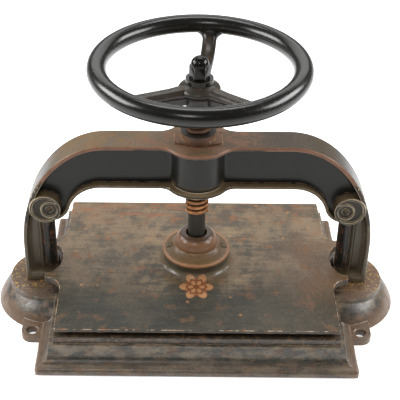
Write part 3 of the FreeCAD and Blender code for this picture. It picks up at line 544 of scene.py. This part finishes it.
# handwheel: rim, dished spokes with their webs, and hub
wheel = {"Rim Radius": 0.1042, "Bar Radius": 0.010, "Rim Height": 0.29295, "Spoke Height": 0.26745,
         "Spokes": 3, "First Angle": math.radians(82.6), "Half Width": 0.0078, "Half Height": 0.0059,
         "Bend Run": 0.040, "Blend": 0.0085, "Web Half": 0.0024, "Web Drop": 0.0096, "Web Reach": 0.0938,
         "Hub Bottom": 0.2515, "Hub Top": 0.276, "Hub Radius": 0.022}
hubProfile = [(0.0, 15.0 / 22), (0.49, 16.5 / 22), (0.56, 18.8 / 22), (0.62, 21.2 / 22), (0.69, 1.0), (0.78, 0.97),
              (0.90, 0.82), (1.0, 15.0 / 22)]


def makeWheel():
    grow = Recipe("wheelRecipe", wheel, wheelJapan)
    rimPath = grow.add("GeometryNodeCurvePrimitiveCircle", {}, {"Resolution": 144, "Radius": grow["Rim Radius"]})
    bar = grow.add("GeometryNodeCurvePrimitiveCircle", {}, {"Resolution": 36, "Radius": grow["Bar Radius"]})
    rim = grow.add("GeometryNodeCurveToMesh", {}, {0: rimPath.outputs[0], 1: bar.outputs[0]}).outputs[0]
    rim = grow.add("GeometryNodeTransform", {}, {"Geometry": rim, "Translation": grow.vector(z=grow["Rim Height"])})
    position = grow.add("ShaderNodeSeparateXYZ", {}, {0: grow.add("GeometryNodeInputPosition").outputs[0]})
    along, aside, upward = [Field(grow, socket) for socket in position.outputs]
    run, dish = grow["Bend Run"], grow["Rim Height"] - grow["Spoke Height"]
    bendRadius = (run * run + dish * dish) / (dish * 2.0)
    bendStart = grow["Rim Radius"] - run

    def lift(x):
        past = (x - bendStart).higher(0.0)
        return bendRadius - (bendRadius * bendRadius - past * past) ** 0.5

    # one spoke, bent up in an arc over the last part of its run
    start = grow.vector(x=0.009, z=grow["Spoke Height"])
    end = grow.vector(x=grow["Rim Radius"], z=grow["Spoke Height"])
    path = grow.add("GeometryNodeCurvePrimitiveLine", {}, {"Start": start, "End": end}).outputs[0]
    path = grow.add("GeometryNodeResampleCurve", {"mode": "COUNT"}, {"Curve": path, "Count": 80}).outputs[0]
    path = grow.add("GeometryNodeSetPosition", {}, {"Geometry": path, "Offset": grow.vector(z=lift(along))}).outputs[0]
    section = grow.add("GeometryNodeCurvePrimitiveCircle", {}, {"Resolution": 28, "Radius": 1.0}).outputs[0]
    section = grow.add("GeometryNodeTransform", {}, {"Geometry": section,
                       "Scale": grow.vector(grow["Half Width"], grow["Half Height"], 1.0)}).outputs[0]
    flare = 1 + (1 - grow.ramp(along, 0.016, 0.034)) * 0.16
    # the arm widens in a round blend where it meets the rim
    blend = grow["Blend"]
    inward, below = grow["Rim Radius"] - along, dish - lift(along)
    clear = (inward * inward + below * below) ** 0.5 - grow["Bar Radius"]
    near = (blend - clear).higher(0.0).lower(blend)
    widening = (blend - (blend * blend - near * near).higher(0.0) ** 0.5) / grow["Half Width"]
    path = grow.add("GeometryNodeStoreNamedAttribute", {"data_type": "FLOAT", "domain": "POINT"}, {
        "Geometry": path, "Name": "widening", "Value": widening}).outputs[0]
    arm = grow.add("GeometryNodeCurveToMesh", {}, {"Curve": path, "Profile Curve": section, "Scale": flare,
                                                   "Fill Caps": True}).outputs[0]
    widen = grow.field("GeometryNodeInputNamedAttribute", {"data_type": "FLOAT"}, {"Name": "widening"})
    arm = grow.add("GeometryNodeSetPosition", {}, {"Geometry": arm, "Offset": grow.vector(y=aside * widen)}).outputs[0]
    # upright web under the arm
    plate = grow.add("GeometryNodeMeshCube", {}, {"Size": (1.0, 1.0, 1.0), "Vertices X": 40}).outputs[0]
    reach = 0.011 + (along + 0.5) * (grow["Web Reach"] - 0.011)
    crown = grow["Spoke Height"] + lift(reach)
    straight = ((reach - 0.011) / (bendStart - 0.011)).lower(1.0)
    rise = grow["Spoke Height"] - grow["Web Drop"] - grow["Hub Bottom"] - 0.001
    taper = ((reach - bendStart) / (grow["Web Reach"] - bendStart)).higher(0.0) * 0.0044
    sole = grow["Hub Bottom"] + 0.001 + rise * straight + lift(reach) + taper
    plateHeight = sole + (upward + 0.5) * (crown - sole)
    plate = grow.add("GeometryNodeSetPosition", {}, {"Geometry": plate, "Position": grow.vector(
        reach, aside * grow["Web Half"] * 2.0, plateHeight)}).outputs[0]
    points = grow.add("GeometryNodePoints", {}, {"Count": grow["Spokes"]}).outputs[0]
    number = Field(grow, grow.add("GeometryNodeInputIndex").outputs[0])
    angle = grow["First Angle"] + number * (2 * math.pi) / grow["Spokes"]
    arms = grow.add("GeometryNodeInstanceOnPoints", {}, {"Points": points, "Instance": grow.joined([arm, plate]),
                                                         "Rotation": grow.vector(z=angle)}).outputs[0]
    # hub turned from a swelling profile
    post = grow.add("GeometryNodeCurvePrimitiveLine", {}, {"Start": grow.vector(z=grow["Hub Bottom"]),
                                                           "End": grow.vector(z=grow["Hub Top"])}).outputs[0]
    post = grow.add("GeometryNodeResampleCurve", {"mode": "COUNT"}, {"Curve": post, "Count": 41}).outputs[0]
    share = Field(grow, grow.add("GeometryNodeSplineParameter").outputs[0])
    swell = grow.field("ShaderNodeFloatCurve", {"curve": hubProfile}, {"Value": share})
    disc = grow.add("GeometryNodeCurvePrimitiveCircle", {}, {"Resolution": 64, "Radius": grow["Hub Radius"]}).outputs[0]
    hub = grow.add("GeometryNodeCurveToMesh", {}, {"Curve": post, "Profile Curve": disc, "Scale": swell,
                                                   "Fill Caps": True}).outputs[0]
    return grow.baked("wheelCasting", grow.joined([rim.outputs[0], arms, hub]))


settle(makeWheel(), "spindle", "wheel", "handwheel")
print("handwheel ready")


def pierced(grow, sides, radius, bore, low, high):
    # an upright prism with a round hole
    outline = grow.add("GeometryNodeCurvePrimitiveCircle", {}, {"Resolution": sides, "Radius": grow[radius]}).outputs[0]
    hole = grow.add("GeometryNodeCurvePrimitiveCircle", {}, {"Resolution": 24, "Radius": grow[bore]}).outputs[0]
    sheet = grow.add("GeometryNodeFillCurve", {"mode": "NGONS"}, {"Curve": grow.joined([outline, hole])}).outputs[0]
    walls = grow.add("GeometryNodeExtrudeMesh", {"mode": "FACES"}, {"Mesh": sheet, "Offset Scale": grow[high] - grow[low],
                                                                    "Individual": False}).outputs[0]
    under = grow.add("GeometryNodeFlipFaces", {}, {"Mesh": sheet}).outputs[0]
    solid = grow.add("GeometryNodeMergeByDistance", {}, {"Geometry": grow.joined([walls, under])}).outputs[0]
    return grow.add("GeometryNodeTransform", {}, {"Geometry": solid, "Translation": grow.vector(z=grow[low])}).outputs[0]


def atFeet(grow, part):
    # one of four, at the feet of the arch
    points = grow.add("GeometryNodePoints", {}, {"Count": 4}).outputs[0]
    number = Field(grow, grow.add("GeometryNodeInputIndex").outputs[0])
    column = grow.field("ShaderNodeMath", {"operation": "FLOOR"}, {0: number * 0.5})
    row = number - column * 2.0
    place = grow.vector((column * 2.0 - 1.0) * grow["Across"], (row * 2.0 - 1.0) * grow["Deep"])
    points = grow.add("GeometryNodeSetPosition", {}, {"Geometry": points, "Position": place}).outputs[0]
    return grow.add("GeometryNodeInstanceOnPoints", {}, {"Points": points, "Instance": part}).outputs[0]


feet = {"Across": 0.178, "Deep": 0.010}
studNut = dict(feet, **{"Corner": 0.013 / math.sqrt(3), "Bore": 0.00405, "Low": 0.0095, "High": 0.0160})
studWasher = dict(feet, **{"Corner": 0.008, "Bore": 0.0042, "Low": 0.0160, "High": 0.0176})
stud = dict(feet, **{"Thickness": 0.004, "Low": 0.0075, "High": 0.0416})


def makeStuds():
    grow = Recipe("studRecipe", stud, darkSteel)
    length = grow["High"] - grow["Low"]
    rod = grow.add("GeometryNodeMeshCylinder", {}, {"Vertices": 24, "Radius": grow["Thickness"], "Depth": length}).outputs[0]
    middle = (grow["High"] + grow["Low"]) * 0.5
    rod = grow.add("GeometryNodeTransform", {}, {"Geometry": rod, "Translation": grow.vector(z=middle)}).outputs[0]
    return grow.baked("frameStuds", atFeet(grow, rod))


def makePierced(name, sizes, sides):
    grow = Recipe(name + "Recipe", sizes, darkSteel)
    return grow.baked(name, atFeet(grow, pierced(grow, sides, "Corner", "Bore", "Low", "High")))


settle(makeStuds(), "frame", "studs", "frame_studs")
settle(makePierced("studNuts", studNut, 6), "frame", "studs", "stud_nuts")
settle(makePierced("studWashers", studWasher, 32), "frame", "studs", "stud_washers")

collarScrew = {"Across": 0.0309, "Thickness": 0.002, "Low": 0.0567, "Seat": 0.0687, "Head": 0.004,
               "Head Height": 0.0018, "Slot": 0.001}


def makeCollarScrews():
    grow = Recipe("collarScrewRecipe", collarScrew, darkSteel)
    length = grow["Seat"] - grow["Low"]
    rod = grow.add("GeometryNodeMeshCylinder", {}, {"Vertices": 24, "Radius": grow["Thickness"], "Depth": length}).outputs[0]
    rod = grow.add("GeometryNodeTransform", {}, {"Geometry": rod, "Translation": grow.vector(
        z=(grow["Seat"] + grow["Low"]) * 0.5)}).outputs[0]
    head = grow.add("GeometryNodeMeshCone", {}, {"Vertices": 32, "Radius Top": grow["Head"] - 0.0009,
                                                 "Radius Bottom": grow["Head"], "Depth": grow["Head Height"]}).outputs[0]
    head = grow.add("GeometryNodeTransform", {}, {"Geometry": head, "Translation": grow.vector(z=grow["Seat"])}).outputs[0]
    blade = grow.add("GeometryNodeMeshCube", {}, {"Size": grow.vector(grow["Slot"], 0.012, 0.002)}).outputs[0]
    blade = grow.add("GeometryNodeTransform", {}, {"Geometry": blade, "Translation": grow.vector(
        z=grow["Seat"] + grow["Head Height"])}).outputs[0]
    slotted = grow.add("GeometryNodeMeshBoolean", {"operation": "DIFFERENCE"}, {"Mesh 1": head, "Mesh 2": blade}).outputs[0]
    points = grow.add("GeometryNodePoints", {}, {"Count": 2}).outputs[0]
    number = Field(grow, grow.add("GeometryNodeInputIndex").outputs[0])
    points = grow.add("GeometryNodeSetPosition", {}, {"Geometry": points, "Position": grow.vector(
        (number * 2.0 - 1.0) * grow["Across"])}).outputs[0]
    set = grow.add("GeometryNodeInstanceOnPoints", {}, {"Points": points, "Instance": grow.joined([rod, slotted])}).outputs[0]
    return grow.baked("collarScrews", set)


settle(makeCollarScrews(), "platen", "screws", "collar_screws")
print("fasteners ready")


def alreadyRound(place):
    # the front and back edges of the arch's top have their own rounding
    return place.z > 0.2052 and abs(place.y) > 0.012


def onFloor(place):
    return place.z < 0.0006


def onDome(place):
    # the cap nut's dome is round as it is
    return place.z > 0.2940


# castings with eased edges
settle(easedCopy("arch_frame", "archCasting", 0.0006, archIron, alreadyRound), "frame", "arch", "arch_frame")
settle(easedCopy("base", "baseCasting", 0.0008, baseIron, onFloor), "frame", "base", "base")
settle(easedCopy("platen", "platenCasting", 0.0006, platenIron), "platen", "platen", "platen")
settle(easedCopy("collar_cap", "collarCasting", 0.0005, collarIron), "platen", "collar", "collar_cap")
settle(easedCopy("wheel_washer", "wheelWasher", 0.0006, capJapan), "spindle", "nut", "wheel_washer")
settle(easedCopy("cap_nut", "capNut", 0.0006, capJapan, onDome), "spindle", "nut", "cap_nut")
dress("screw", screwSteel)
dress("screw_bush", bushSteel)
for node in ("thrust_button", "neck_ring_left", "neck_ring_right"):
    dress(node, darkSteel)
print("castings ready")
